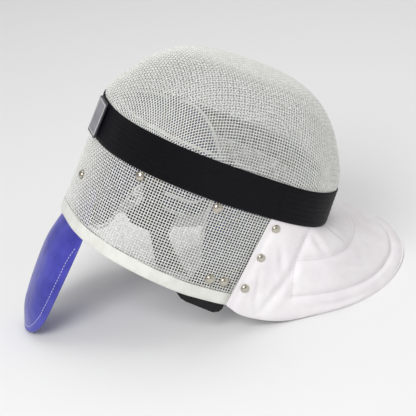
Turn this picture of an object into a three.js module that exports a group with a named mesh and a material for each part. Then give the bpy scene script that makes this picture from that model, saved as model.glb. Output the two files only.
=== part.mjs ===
// A fencing mask lying face up, with its chin low: it rests on the tip of its tongue and on the hem of its bib.
// Lengths are millimetres. The mask is drawn in its own frame, where X runs from crown to chin, +Y is the
// wearer's left and Z is the level over the strap's top edge, towards the face. One group then pitches it.

import * as THREE from 'three';

const pitch = THREE.MathUtils.degToRad(28.8); // the strap's plane to the surface below

const basket = {
  crownEnd: -132, chinEnd: 121, width: 216,
  widestAt: 6,
  crownSquareness: 2.3, chinSquareness: 3, // 2 is an ellipse
  wall: 2,
  taper: 0.04, // share of the width lost between strap and rim
};
const dome = {
  base: -4, height: 77, apexAt: -2, crownFullness: 3.9, chinFullness: 4.4, sideFullness: 3.6,
  topCrownSquareness: 2.1, topChinSquareness: 2.6, overhang: 2, skirt: -16,
};
const trim = { height: 12, under: 2.6, proud: 1.3, inside: 4.2 };
const strap = { thickness: 1.7 };
const label = { width: 30, height: 39, thickness: 1.4, along: 7, level: -28, corner: 3, lift: 3.9 };
const tongue = { rim: -128, outerPadding: 9, innerPadding: 4, edge: 1.5, liner: 0.8, bow: 150, inset: 5.2 };
const bib = {
  topLevel: -36, leavesWall: -49, sheet: 3, tuckedSheet: 1.5, gap: 0.4, edgeAlong: 227, foot: 9, bulge: 9,
  rivetInset: 9.5,
};
const pad = { middle: 13, padding: 6, edge: 1.5 };
const binding = { radius: 2, gap: 0.4 };
const tab = { outside: 4.8, thickness: 1.6 };
const sideStrap = { outside: 2.6, thickness: 1.4 };
const rivet = { radius: 4.8, height: 2.6, lip: 0.6 };

// Level of the rim, by the distance along the wall from the middle of the crown.
const rimRows = [
  { along: 0, level: -138 }, { along: 110, level: -145 }, { along: 170, level: -150 }, { along: 222, level: -150 },
  { along: 250, level: -142 }, { along: 300, level: -108 }, { along: 335, level: -92 }, { along: 400, level: -86 },
];
// The strap's edges round the wall, and how far each stands off the mesh: the lower one runs over the bib.
const strapRows = [
  { along: 0, top: -8, bottom: -48, topLift: 0.5, bottomLift: 0.5 },
  { along: 30, top: -8.5, bottom: -48, topLift: 0.5, bottomLift: 0.5 },
  { along: 82, top: -7, bottom: -46.5, topLift: 0.5, bottomLift: 0.5 },
  { along: 140, top: -6.5, bottom: -46.5, topLift: 0.5, bottomLift: 0.5 },
  { along: 200, top: -7.5, bottom: -47.5, topLift: 0.5, bottomLift: 0.6 },
  { along: 219, top: -8.5, bottom: -47, topLift: 0.5, bottomLift: 3 },
  { along: 260, top: -10, bottom: -47.5, topLift: 0.5, bottomLift: 3 },
  { along: 300, top: -8.5, bottom: -47.5, topLift: 0.5, bottomLift: 3 },
  { along: 400, top: -8.5, bottom: -46, topLift: 0.5, bottomLift: 3 },
];
// The tongue's half width and the place of its middle, by level.
const tongueRows = [
  { level: -92, half: 38, middle: -127.5 }, { level: -128, half: 43, middle: -127.5 },
  { level: -150, half: 45, middle: -128.4 }, { level: -190, half: 43.5, middle: -129.4 },
  { level: -220, half: 40, middle: -128.8 }, { level: -244, half: 35, middle: -127.2 },
  { level: -257, half: 28, middle: -126.2 }, { level: -266, half: 19, middle: -125.5 },
  { level: -270, half: 12, middle: -125.2 }, { level: -272, half: 4, middle: -125 },
];
// The bib's hem, from the right jaw to the left one, in the frame of the surface it lies on: its distance
// in front of the tongue's tip, its place across, and its height where the cloth lifts off the surface.
const hemRows = [
  { ahead: 191, across: -108.5, up: 36 }, { ahead: 203, across: -108, up: 23 }, { ahead: 222, across: -107, up: 12 },
  { ahead: 249, across: -108, up: 3 }, { ahead: 277, across: -109, up: 0 }, { ahead: 312, across: -109.5, up: 0 },
  { ahead: 343, across: -102, up: 0 }, { ahead: 370, across: -88, up: 0 }, { ahead: 397, across: -63, up: 0 },
  { ahead: 419, across: -31, up: 0 }, { ahead: 431, across: 5, up: 0 }, { ahead: 434, across: 46, up: 0 },
  { ahead: 426, across: 84, up: 0 }, { ahead: 406, across: 104, up: 0 }, { ahead: 375, across: 109.5, up: 3 },
  { ahead: 337, across: 109.5, up: 10 }, { ahead: 291, across: 109, up: 18 }, { ahead: 240, across: 109, up: 26 },
  { ahead: 191, across: 108.5, up: 36 },
];
// Outlines of the pads on the wall: their upper and lower edges by the distance along the wall.
const crownPadRows = [
  { along: 0, top: -8, bottom: -128 }, { along: 44, top: -8, bottom: -128 }, { along: 56, top: -8, bottom: -124 },
  { along: 64, top: -8, bottom: -110 }, { along: 70, top: -8, bottom: -84 }, { along: 80, top: -8, bottom: -62 },
  { along: 95, top: -8, bottom: -59 }, { along: 154, top: -8, bottom: -57 },
];
const cheekPadRows = [
  { along: 166, top: -9, bottom: -66 }, { along: 172, top: -9, bottom: -92 }, { along: 180, top: -9, bottom: -120 },
  { along: 192, top: -10, bottom: -127 }, { along: 214, top: -24, bottom: -129 }, { along: 234, top: -45, bottom: -130 },
  { along: 246, top: -64, bottom: -126 }, { along: 253, top: -86, bottom: -112 },
];
const tabRows = [
  { along: 162, top: -146, bottom: -151 }, { along: 173, top: -138, bottom: -159 }, { along: 180, top: -117, bottom: -161 },
  { along: 213, top: -113, bottom: -165 }, { along: 219, top: -112, bottom: -163 }, { along: 222, top: -112, bottom: -159 },
];
const sideStrapRows = [
  { level: -48, from: 84, to: 106 }, { level: -66, from: 91, to: 114 }, { level: -85, from: 102, to: 125 },
  { level: -103, from: 115, to: 137 }, { level: -120, from: 126, to: 154 }, { level: -133, from: 134, to: 171 },
];
const rivetPlaces = [
  { name: 'rivet_crown', along: 0, level: -90, lift: 0.4, sides: ['middle'] },
  { name: 'rivet_pad_crown', along: 83, level: -52.5, lift: 0.4, sides: ['right', 'left'] },
  { name: 'rivet_pad_cheek', along: 168, level: -53, lift: 0.4, sides: ['right', 'left'] },
  { name: 'rivet_tab_front', along: 208, level: -127, lift: 0.4, sides: ['right', 'left'] },
  { name: 'rivet_tab_back', along: 192, level: -128, lift: 0.4, sides: ['right', 'left'] },
];
// Rivets through the bib's edge, by their share of the way down it.
const bibRivetPlaces = [
  { name: 'rivet_bib_upper', down: 0.07 }, { name: 'rivet_bib_middle', down: 0.39 }, { name: 'rivet_bib_lower', down: 0.74 },
];

const finishes = {
  enamelledMesh: { color: '#e9e9e4', roughness: 0.4, metalness: 0.1 },
  vinylTrim: { color: '#e8e8df', roughness: 0.45, metalness: 0 },
  elastic: { color: '#0f0f14', roughness: 0.85, metalness: 0 },
  labelRubber: { color: '#8d8b93', roughness: 0.5, metalness: 0 },
  blueVinyl: { color: '#4a48b4', roughness: 0.4, metalness: 0 },
  bibCloth: { color: '#f4f0f2', roughness: 0.85, metalness: 0 },
  padCloth: { color: '#2a2a7c', roughness: 0.85, metalness: 0 },
  bindingTape: { color: '#d9d9de', roughness: 0.8, metalness: 0 },
  tabVinyl: { color: '#121217', roughness: 0.6, metalness: 0 },
  nickel: { color: '#b9b2a4', roughness: 0.25, metalness: 1 },
};

const crownReach = basket.widestAt - basket.crownEnd;
const chinReach = basket.chinEnd - basket.widestAt;

function power(value, exponent) {
  return Math.sign(value) * Math.abs(value) ** exponent;
}

// A point of an egg-shaped plan. A turn of 0 is the crown's middle, and 90 degrees is the left side.
function eggPoint(turn, centre, crown, chin, half, crownSquareness, chinSquareness) {
  const forward = -Math.cos(turn);
  const squareness = forward > 0 ? chinSquareness : crownSquareness;
  const reach = forward > 0 ? chin : crown;
  return new THREE.Vector2(
    centre + reach * power(forward, 2 / squareness),
    half * power(Math.sin(turn), 2 / squareness),
  );
}

function outlinePoint(turn, inset = 0) {
  return eggPoint(turn, basket.widestAt, crownReach - inset, chinReach - inset, basket.width / 2 - inset,
    basket.crownSquareness, basket.chinSquareness);
}

// The outline measured out by length, so that a place on the wall is a distance along it and a level.
const outline = [];
const outlineSteps = 1440;
for (let step = 0; step <= outlineSteps; step += 1) {
  const point = outlinePoint((step / outlineSteps) * Math.PI);
  const before = outline.at(-1);
  const along = before ? before.along + point.distanceTo(before.point) : 0;
  outline.push({ point, along });
}
const halfGirth = outline.at(-1).along;

// A place on the wall: a positive distance is on the left side, and a positive lift stands outside.
function wallAt(along, level, lift) {
  const girth = 2 * halfGirth;
  const wrapped = ((along % girth) + girth) % girth;
  const side = wrapped > halfGirth ? -1 : 1;
  const reach = side > 0 ? wrapped : girth - wrapped;
  let low = 0;
  let high = outline.length - 1;
  while (high - low > 1) {
    const middle = (low + high) >> 1;
    if (outline[middle].along <= reach) low = middle;
    else high = middle;
  }
  const from = outline[low].point;
  const to = outline[high].point;
  const share = (reach - outline[low].along) / (outline[high].along - outline[low].along);
  const before = outline[Math.max(low - 4, 0)].point;
  const after = outline[Math.min(high + 4, outline.length - 1)].point;
  const tangent = after.clone().sub(before).normalize();
  const point = from.clone().lerp(to, share);
  const narrowing = 1 - basket.taper * THREE.MathUtils.clamp(-(level + 44) / 106, 0, 1.4);
  return new THREE.Vector3(
    point.x - tangent.y * lift,
    side * (point.y * narrowing + tangent.x * lift),
    level,
  );
}

// Reads a table between its rows. Rows are keyed by one column and may be mirrored at the middle.
function readRows(rows, key, at) {
  const last = rows.length - 1;
  const next = rows.findIndex((row) => Math.sign(rows[last][key] - rows[0][key]) * (row[key] - at) > 0);
  if (next === 0) return { ...rows[0] };
  if (next < 0) return { ...rows[last] };
  const share = (at - rows[next - 1][key]) / (rows[next][key] - rows[next - 1][key]);
  const blended = {};
  for (const column of Object.keys(rows[0])) {
    blended[column] = THREE.MathUtils.lerp(rows[next - 1][column], rows[next][column], share);
  }
  return blended;
}

function mirrored(along) {
  const girth = 2 * halfGirth;
  const wrapped = ((along % girth) + girth) % girth;
  return Math.min(wrapped, girth - wrapped);
}

function geometryFrom(points, triangles) {
  let volume = 0;
  for (const [a, b, c] of triangles) volume += points[a].dot(points[b].clone().cross(points[c]));
  const facing = volume < 0 ? triangles.map(([a, b, c]) => [a, c, b]) : triangles;
  const geometry = new THREE.BufferGeometry();
  geometry.setAttribute('position', new THREE.Float32BufferAttribute(points.flatMap((p) => [p.x, p.y, p.z]), 3));
  geometry.setIndex(facing.flat());
  geometry.computeVertexNormals();
  return geometry;
}

// A wall between an outer and an inner grid of points. Each grid is a list of rows. A ring's rows close on
// themselves, and a capped wall's last row is one point.
function wallSolid(outer, inner, { ring = false, capped = false } = {}) {
  const points = [];
  const index = [outer, inner].map((grid) => grid.map((row) => row.map((point) => points.push(point) - 1)));
  const triangles = [];
  const quad = (a, b, c, d) => triangles.push([a, b, c], [a, c, d]);
  const rows = outer.length;
  const columns = outer[0].length;
  const spans = ring ? columns : columns - 1;
  for (const [side, grid] of index.entries()) {
    for (let row = 0; row < rows - 1; row += 1) {
      for (let column = 0; column < spans; column += 1) {
        const next = (column + 1) % columns;
        const [a, b] = [grid[row][column], grid[row][next]];
        if (capped && row === rows - 2) triangles.push(side ? [b, a, grid[row + 1][0]] : [a, b, grid[row + 1][0]]);
        else if (side) quad(b, a, grid[row + 1][column], grid[row + 1][next]);
        else quad(a, b, grid[row + 1][next], grid[row + 1][column]);
      }
    }
  }
  const [skin, lining] = index;
  for (let column = 0; column < spans; column += 1) {
    const next = (column + 1) % columns;
    quad(skin[0][next], skin[0][column], lining[0][column], lining[0][next]);
    if (!capped) quad(skin[rows - 1][column], skin[rows - 1][next], lining[rows - 1][next], lining[rows - 1][column]);
  }
  for (let row = 0; row < rows - 1 && !ring; row += 1) {
    quad(skin[row][0], skin[row + 1][0], lining[row + 1][0], lining[row][0]);
    quad(skin[row + 1][columns - 1], skin[row][columns - 1], lining[row][columns - 1], lining[row + 1][columns - 1]);
  }
  return geometryFrom(points, triangles);
}

// A closed section carried round a closed path: sections is a ring of rings of points.
function ringSolid(sections) {
  const points = sections.flat();
  const sides = sections[0].length;
  const triangles = [];
  for (let station = 0; station < sections.length; station += 1) {
    const here = station * sides;
    const there = ((station + 1) % sections.length) * sides;
    for (let side = 0; side < sides; side += 1) {
      const next = (side + 1) % sides;
      triangles.push([here + side, there + side, there + next], [here + side, there + next, here + next]);
    }
  }
  return geometryFrom(points, triangles);
}

function steps(count, from, to) {
  return Array.from({ length: count + 1 }, (_, step) => THREE.MathUtils.lerp(from, to, step / count));
}

function roundTheWall(count) {
  return Array.from({ length: count }, (_, step) => (step / count) * 2 * halfGirth);
}

// The dome's plan at a share of its rise, which shrinks faster near the top the fuller the dome is.
function domePoint(turn, rise, inset) {
  const shrink = (fullness) => (1 - rise) ** (1 / fullness);
  const crownEnd = dome.apexAt - (dome.apexAt - basket.crownEnd) * shrink(dome.crownFullness);
  const widest = basket.chinEnd + dome.overhang * THREE.MathUtils.smoothstep(rise, 0, 0.15);
  const chinEnd = dome.apexAt + (widest - dome.apexAt) * shrink(dome.chinFullness);
  const centre = THREE.MathUtils.lerp(basket.widestAt, dome.apexAt, rise);
  const keep = Math.max(1 - inset / 90, 0);
  const plan = eggPoint(turn, centre, (centre - crownEnd) * keep, (chinEnd - centre) * keep,
    (basket.width / 2) * shrink(dome.sideFullness) * keep,
    THREE.MathUtils.lerp(basket.crownSquareness, dome.topCrownSquareness, rise),
    THREE.MathUtils.lerp(basket.chinSquareness, dome.topChinSquareness, rise));
  return new THREE.Vector3(plan.x, plan.y, dome.base + (dome.height - inset) * rise);
}

function frontMesh() {
  const around = 48;
  const rises = [0.001, 0.08, 0.17, 0.27, 0.38, 0.5, 0.62, 0.74, 0.85, 0.93, 0.98];
  const turns = Array.from({ length: around }, (_, step) => (step / around) * 2 * Math.PI);
  const grid = (inset) => [
    turns.map((turn) => {
      const plan = outlinePoint(turn, inset);
      return new THREE.Vector3(plan.x, plan.y, dome.skirt);
    }),
    ...rises.map((rise) => turns.map((turn) => domePoint(turn, rise, inset))),
    [domePoint(0, 1, inset)],
  ];
  return wallSolid(grid(0), grid(basket.wall), { ring: true, capped: true });
}

function rimLevel(along) {
  return readRows(rimRows, 'along', mirrored(along)).level;
}

function sideMesh() {
  const upper = dome.skirt - 0.4;
  const grid = (lift) => [0, 0.3, 0.65, 1].map((share) => roundTheWall(72).map((along) => (
    wallAt(along, THREE.MathUtils.lerp(upper, rimLevel(along), share), lift)
  )));
  return wallSolid(grid(0), grid(-basket.wall), { ring: true });
}

// A U-shaped binding that holds the mesh's cut edge.
function edgeTrim() {
  const profile = [
    [0.3, trim.height], [trim.proud - 0.3, trim.height], [trim.proud, 0], [trim.proud - 1, -trim.under],
    [-trim.inside + 1, -trim.under], [-trim.inside, 0], [-trim.inside + 0.3, trim.height],
    [-basket.wall - 0.3, trim.height], [-basket.wall - 0.3, -0.4], [0.3, -0.4],
  ];
  return ringSolid(roundTheWall(72).map((along) => (
    profile.map(([lift, rise]) => wallAt(along, rimLevel(along) + rise, lift))
  )));
}

function headStrap() {
  return ringSolid(roundTheWall(72).map((along) => {
    const { top, bottom, topLift, bottomLift } = readRows(strapRows, 'along', mirrored(along));
    return [
      wallAt(along, top, topLift), wallAt(along, top - 0.8, topLift + strap.thickness),
      wallAt(along, bottom + 0.8, bottomLift + strap.thickness), wallAt(along, bottom, bottomLift),
    ];
  }));
}

function roundedRectangle(width, height, corner) {
  const [x, y] = [width / 2, height / 2];
  const shape = new THREE.Shape();
  shape.moveTo(-x + corner, -y).lineTo(x - corner, -y).absarc(x - corner, -y + corner, corner, -Math.PI / 2, 0);
  shape.lineTo(x, y - corner).absarc(x - corner, y - corner, corner, 0, Math.PI / 2);
  shape.lineTo(-x + corner, y).absarc(-x + corner, y - corner, corner, Math.PI / 2, Math.PI);
  shape.lineTo(-x, -y + corner).absarc(-x + corner, -y + corner, corner, Math.PI, Math.PI * 1.5);
  return shape;
}

// Turns a piece drawn in its own frame, with +Z facing out and +Y up, to sit on the wall.
function onWall(mesh, along, level, lift) {
  const place = wallAt(along, level, lift);
  return facing(mesh, place, wallAt(along, level, lift + 1).sub(place));
}

function facing(mesh, place, direction) {
  const out = direction.clone().normalize();
  const across = new THREE.Vector3(0, 0, 1).cross(out).normalize();
  mesh.quaternion.setFromRotationMatrix(new THREE.Matrix4().makeBasis(across, out.clone().cross(across), out));
  mesh.position.copy(place);
  return mesh;
}

function strapLabel() {
  return new THREE.ExtrudeGeometry(roundedRectangle(label.width, label.height, label.corner),
    { depth: label.thickness, bevelEnabled: false, curveSegments: 4 });
}

// How far a padded face stands off the piece's middle, at a place across it from -1 to 1.
function crowned(place, padding, edge) {
  return edge + Math.max(padding - edge, 0) * (1 - Math.abs(place) ** 3);
}

function tongueSolid() {
  const across = steps(10, -1, 1);
  const levels = [-92, -110, -128, -141, -150, -170, -190, -206, -220, -233, -244, -252, -259, -265, -270, -272];
  const grid = (face) => levels.map((level) => across.map((place) => {
    const { half, middle } = readRows(tongueRows, 'level', level);
    const y = place * half;
    const free = middle + (y * y) / (2 * tongue.bow);
    const padded = THREE.MathUtils.smoothstep(tongue.rim - level, 14, 34);
    const fading = THREE.MathUtils.lerp(1, 0.3, THREE.MathUtils.smoothstep(-level, 245, 272));
    const padding = (face < 0 ? tongue.outerPadding : tongue.innerPadding) * fading;
    const depth = THREE.MathUtils.lerp(tongue.liner, crowned(place, padding, tongue.edge), padded);
    const tucked = wallAt(y, level, -tongue.inset - face * depth);
    return tucked.lerp(new THREE.Vector3(free + face * depth, y, level), padded);
  }));
  return wallSolid(grid(-1), grid(1));
}

// Where the mask's own frame meets the frame of the surface: the tongue's tip is at nought in both.
const tip = tongueRows.at(-1);
const tipUnderside = 1; // how far the padded tip reaches below its own middle

function fromSurface(ahead, across, up) {
  const height = up - tipUnderside;
  return new THREE.Vector3(
    tip.middle + ahead * Math.cos(pitch) - height * Math.sin(pitch),
    across,
    tip.level + ahead * Math.sin(pitch) + height * Math.cos(pitch),
  );
}

// The bib is tucked under the strap, falls from the wall to the surface and ends in a hem that lies flat on it.
function bibGrid() {
  const stations = steps(42, 0, 1);
  const hemCurve = new THREE.CatmullRomCurve3(hemRows.map((row) => new THREE.Vector3(row.ahead, row.across, row.up)));
  const falls = steps(6, 0, 1);
  const columns = stations.map((station) => {
    const along = THREE.MathUtils.lerp(-bib.edgeAlong, bib.edgeAlong - 2 * halfGirth, station);
    const edge = Math.min(station, 1 - station);
    const open = THREE.MathUtils.smoothstep(edge, 0.02, 0.2);
    const tucked = wallAt(along, bib.topLevel, bib.gap);
    const leaving = wallAt(along, bib.leavesWall, bib.gap);
    const out = wallAt(along, bib.leavesWall, bib.gap + 1).sub(leaving);
    const hem = hemCurve.getPointAt(station);
    const heel = hem.clone().sub(new THREE.Vector3(300, 0, 0));
    heel.multiplyScalar(1 - (bib.foot * THREE.MathUtils.smoothstep(edge, 0.08, 0.2)) / heel.length());
    const foot = fromSurface(hem.x, hem.y, Math.max(hem.z, 0));
    const landing = fromSurface(heel.x + 300, heel.y, Math.max(hem.z, 0));
    const fall = falls.map((share) => {
      const point = leaving.clone().lerp(landing, share);
      return point.addScaledVector(out, bib.bulge * open * Math.sin(Math.PI * share));
    });
    return [tucked, ...fall, foot];
  });
  return columns[0].map((_, row) => columns.map((column) => column[row]));
}

// Moves every point of a grid out along the grid's own normal, by a thickness for each row.
function thicken(grid, thicknessOf) {
  return grid.map((row, i) => row.map((point, j) => {
    const [up, down] = [grid[Math.max(i - 1, 0)][j], grid[Math.min(i + 1, grid.length - 1)][j]];
    const [left, right] = [row[Math.max(j - 1, 0)], row[Math.min(j + 1, row.length - 1)]];
    const normal = right.clone().sub(left).cross(up.clone().sub(down)).normalize();
    return point.clone().addScaledVector(normal, thicknessOf(i));
  }));
}

// A pad lies inside the wall between its upper and lower edge, thinner at its edges.
function padSolid(rows, alongs, side) {
  const places = steps(6, -1, 1);
  const first = alongs[0];
  const last = alongs.at(-1);
  const grid = (face) => places.map((place) => alongs.map((along) => {
    const { top, bottom } = readRows(rows, 'along', Math.abs(along));
    const level = THREE.MathUtils.lerp(top, bottom, (place + 1) / 2);
    const lengthwise = (2 * (along - first)) / (last - first) - 1;
    const depth = crowned(Math.max(Math.abs(place), Math.abs(lengthwise) ** 6), pad.padding, pad.edge);
    return wallAt(side * along, level, -pad.middle + face * depth);
  }));
  return wallSolid(grid(1), grid(-1));
}

const crownAlongs = [-154, -140, -120, -95, -80, -70, -64, -56, -44, -22, 0, 22, 44, 56, 64, 70, 80, 95, 120, 140, 154];
const cheekAlongs = cheekPadRows.map((row) => row.along);

// The tape that binds a pad's edge is a cord of small section that runs round the outline.
function bindingSolid(rows, alongs, side) {
  const upper = alongs.map((along) => [along, readRows(rows, 'along', Math.abs(along)).top]);
  const lower = alongs.map((along) => [along, readRows(rows, 'along', Math.abs(along)).bottom]);
  const corners = [...upper, ...lower.reverse()].map(([along, level]) => new THREE.Vector2(along, level));
  const count = corners.length;
  const clear = binding.radius + binding.gap;
  return ringSolid(corners.map((corner, index) => {
    const before = corners[(index + count - 1) % count];
    const after = corners[(index + 1) % count];
    const inOut = corner.clone().sub(before).normalize();
    const outOf = after.clone().sub(corner).normalize();
    const run = inOut.clone().add(outOf).normalize();
    const away = new THREE.Vector2(-run.y, run.x);
    const miter = clear / Math.max(away.dot(new THREE.Vector2(-inOut.y, inOut.x)), 0.5);
    const centre = corner.clone().addScaledVector(away, miter);
    return steps(5, 0, 5).map((step) => {
      const turn = (step / 6) * 2 * Math.PI;
      const spot = centre.clone().addScaledVector(away, binding.radius * Math.cos(turn));
      return wallAt(side * spot.x, spot.y, -pad.middle + binding.radius * Math.sin(turn));
    });
  }));
}

function tabSolid(side) {
  const grid = (depth) => [0, 0.5, 1].map((share) => tabRows.map(({ along, top, bottom }) => (
    wallAt(side * along, THREE.MathUtils.lerp(top, bottom, share), -depth)
  )));
  return wallSolid(grid(tab.outside), grid(tab.outside + tab.thickness));
}

function sideStrapSolid(side) {
  const grid = (depth) => sideStrapRows.map(({ level, from, to }) => steps(4, from, to).map((along) => (
    wallAt(side * along, level, -depth)
  )));
  return wallSolid(grid(sideStrap.outside), grid(sideStrap.outside + sideStrap.thickness));
}

function rivetHead() {
  const { radius, height, lip } = rivet;
  const profile = [
    [0, 0], [radius, 0], [radius, lip], [radius * 0.8, height * 0.62], [radius * 0.42, height * 0.93], [0, height],
  ];
  const head = new THREE.LatheGeometry(profile.map(([x, y]) => new THREE.Vector2(x, y)), 10);
  return head.rotateX(Math.PI / 2);
}

function piece(name, geometry, finish) {
  const mesh = new THREE.Mesh(geometry, new THREE.MeshStandardMaterial(finishes[finish]));
  mesh.name = name;
  return mesh;
}

const bibInner = bibGrid();
const bibOuter = thicken(bibInner, (row) => (row < 2 ? bib.tuckedSheet : bib.sheet));

// Sits a piece on the bib's outer face, close to its edge.
function onBib(mesh, down, side) {
  const [edge, next] = side === 'right' ? [0, 1] : [bibInner[0].length - 1, bibInner[0].length - 2];
  const place = 1 + down * (bibInner.length - 3);
  const row = Math.floor(place);
  const onColumn = (grid, column) => grid[row][column].clone().lerp(grid[row + 1][column], place - row);
  const share = bib.rivetInset / onColumn(bibInner, edge).distanceTo(onColumn(bibInner, next));
  const blend = (grid) => onColumn(grid, edge).lerp(onColumn(grid, next), share);
  const face = blend(bibOuter);
  const out = face.clone().sub(blend(bibInner)).normalize();
  return facing(mesh, face.addScaledVector(out, 0.4), out);
}

const mask = new THREE.Group();
mask.add(
  piece('front_mesh', frontMesh(), 'enamelledMesh'),
  piece('side_mesh', sideMesh(), 'enamelledMesh'),
  piece('edge_trim', edgeTrim(), 'vinylTrim'),
  piece('head_strap', headStrap(), 'elastic'),
  piece('tongue', tongueSolid(), 'blueVinyl'),
  piece('bib', wallSolid(bibOuter, bibInner), 'bibCloth'),
  piece('crown_pad', padSolid(crownPadRows, crownAlongs, 1), 'padCloth'),
  piece('crown_pad_binding', bindingSolid(crownPadRows, crownAlongs, 1), 'bindingTape'),
);
mask.add(onWall(piece('strap_label', strapLabel(), 'labelRubber'), label.along, label.level, label.lift));
for (const [name, side] of [['left', 1], ['right', -1]]) {
  mask.add(
    piece(`cheek_pad_${name}`, padSolid(cheekPadRows, cheekAlongs, side), 'padCloth'),
    piece(`cheek_pad_binding_${name}`, bindingSolid(cheekPadRows, cheekAlongs, side), 'bindingTape'),
    piece(`jaw_tab_${name}`, tabSolid(side), 'tabVinyl'),
    piece(`side_strap_${name}`, sideStrapSolid(side), 'elastic'),
  );
}
for (const { name, along, level, lift, sides } of rivetPlaces) {
  for (const side of sides) {
    const fullName = side === 'middle' ? name : `${name}_${side}`;
    mask.add(onWall(piece(fullName, rivetHead(), 'nickel'), side === 'right' ? -along : along, level, lift));
  }
}
for (const { name, down } of bibRivetPlaces) {
  for (const side of ['right', 'left']) {
    mask.add(onBib(piece(`${name}_${side}`, rivetHead(), 'nickel'), down, side));
  }
}

// Pitch the mask, then stand the middle of its box on the origin.
mask.rotation.y = pitch;
const part = new THREE.Group();
part.add(mask);
part.updateMatrixWorld(true);
const box = new THREE.Box3().setFromObject(part, true);
const middle = box.getCenter(new THREE.Vector3());
mask.position.set(-middle.x, -middle.y, -box.min.z);

export default part;
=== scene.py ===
import math

import bmesh
import bpy
import numpy as np
from mathutils import Matrix, Vector, noise
from mathutils.bvhtree import BVHTree


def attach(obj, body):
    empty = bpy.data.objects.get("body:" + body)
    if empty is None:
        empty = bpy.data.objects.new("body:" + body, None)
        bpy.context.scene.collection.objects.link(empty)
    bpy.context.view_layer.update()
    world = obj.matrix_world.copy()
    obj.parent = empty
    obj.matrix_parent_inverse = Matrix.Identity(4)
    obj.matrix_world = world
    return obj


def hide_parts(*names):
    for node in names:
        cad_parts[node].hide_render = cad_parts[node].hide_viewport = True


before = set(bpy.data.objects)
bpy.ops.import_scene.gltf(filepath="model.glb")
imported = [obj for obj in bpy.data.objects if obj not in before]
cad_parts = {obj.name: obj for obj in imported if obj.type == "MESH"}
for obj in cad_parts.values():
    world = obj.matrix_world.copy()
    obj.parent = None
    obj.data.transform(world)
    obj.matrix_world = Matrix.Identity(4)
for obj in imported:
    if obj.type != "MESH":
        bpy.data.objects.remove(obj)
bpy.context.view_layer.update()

mm = 0.001

# The mask is drawn in millimetres in its own frame: X from crown to chin, +Y to the wearer's left, Z up.
basket = {
    "pitch": 28.8, "crownEnd": -132, "chinEnd": 121, "halfWidth": 108, "widestAt": 6,
    "crownSquareness": 2.3, "chinSquareness": 3.0, "taper": 0.04, "skirt": -16,
}
dome = {
    "base": -4, "height": 77, "apexAt": -2, "overhang": 2,
    "crownFullness": 3.9, "chinFullness": 4.4, "sideFullness": 3.6,
    "topCrownSquareness": 2.1, "topChinSquareness": 2.6,
}


pitch = math.radians(basket["pitch"])
turn = np.array([
    [math.cos(pitch), 0, math.sin(pitch)],
    [0, 1, 0],
    [-math.sin(pitch), 0, math.cos(pitch)],
])


def nodePoints(name):
    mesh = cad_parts[name].data
    points = np.empty(len(mesh.vertices) * 3)
    mesh.vertices.foreach_get("co", points)
    return points.reshape(-1, 3) / mm


lowCorner = (nodePoints("front_mesh") @ turn).min(axis=0)
origin = turn @ (lowCorner - (basket["crownEnd"], -basket["halfWidth"], basket["skirt"]))


def toPart(points):  # from the mask's millimetres to the part's metres
    return (np.asarray(points, float) @ turn.T + origin) * mm


def toMask(points):
    return (np.asarray(points, float) / mm - origin) @ turn


def power(value, exponent):
    return np.sign(value) * np.abs(value) ** exponent


def eggPlan(angle, centre, crown, chin, half, crownSquareness, chinSquareness):  # rounder at one end
    forward = -np.cos(angle)
    squareness = np.where(forward > 0, chinSquareness, crownSquareness)
    reach = np.where(forward > 0, chin, crown)
    return centre + reach * power(forward, 2 / squareness), half * power(np.sin(angle), 2 / squareness)


def basketPlan(angle):
    return eggPlan(angle, basket["widestAt"], basket["widestAt"] - basket["crownEnd"],
                   basket["chinEnd"] - basket["widestAt"], basket["halfWidth"],
                   basket["crownSquareness"], basket["chinSquareness"])


def measureOutline():  # one half of the outline, from the middle of the crown, by the distance along it
    x, y = basketPlan(np.linspace(0, math.pi, 1441))
    along = np.concatenate([[0], np.cumsum(np.hypot(np.diff(x), np.diff(y)))])
    runX, runY = np.gradient(x, along), np.gradient(y, along)
    runX[0] = runX[-1] = 0
    length = np.hypot(runX, runY)
    return {"along": along, "x": x, "y": y, "runX": runX / length, "runY": runY / length}


outline = measureOutline()
halfGirth = outline["along"][-1]


def wallAt(along, level, lift):  # a place on the band of mesh, or off it by its lift
    along, level, lift = np.broadcast_arrays(*(np.asarray(a, float) for a in (along, level, lift)))
    wrapped = np.mod(along, 2 * halfGirth)
    side = np.where(wrapped > halfGirth, -1, 1)
    reach = np.where(side > 0, wrapped, 2 * halfGirth - wrapped)
    x, y, runX, runY = (
        np.interp(reach, outline["along"], outline[key]) for key in ("x", "y", "runX", "runY"))
    narrowing = 1 - basket["taper"] * np.clip(-(level + 44) / 106, 0, 1.4)
    return np.stack([x - runY * lift, side * (y * narrowing + runX * lift), level], -1)


def readRows(rows, key, at):  # every column of a table of rows, at the wanted values of one of them
    table = {column: np.array([row[column] for row in rows], float) for column in rows[0]}
    order = np.argsort(table[key])
    return {column: np.interp(at, table[key][order], values[order]) for column, values in table.items()}


def mirrored(along):
    wrapped = np.mod(along, 2 * halfGirth)
    return np.minimum(wrapped, 2 * halfGirth - wrapped)


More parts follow.
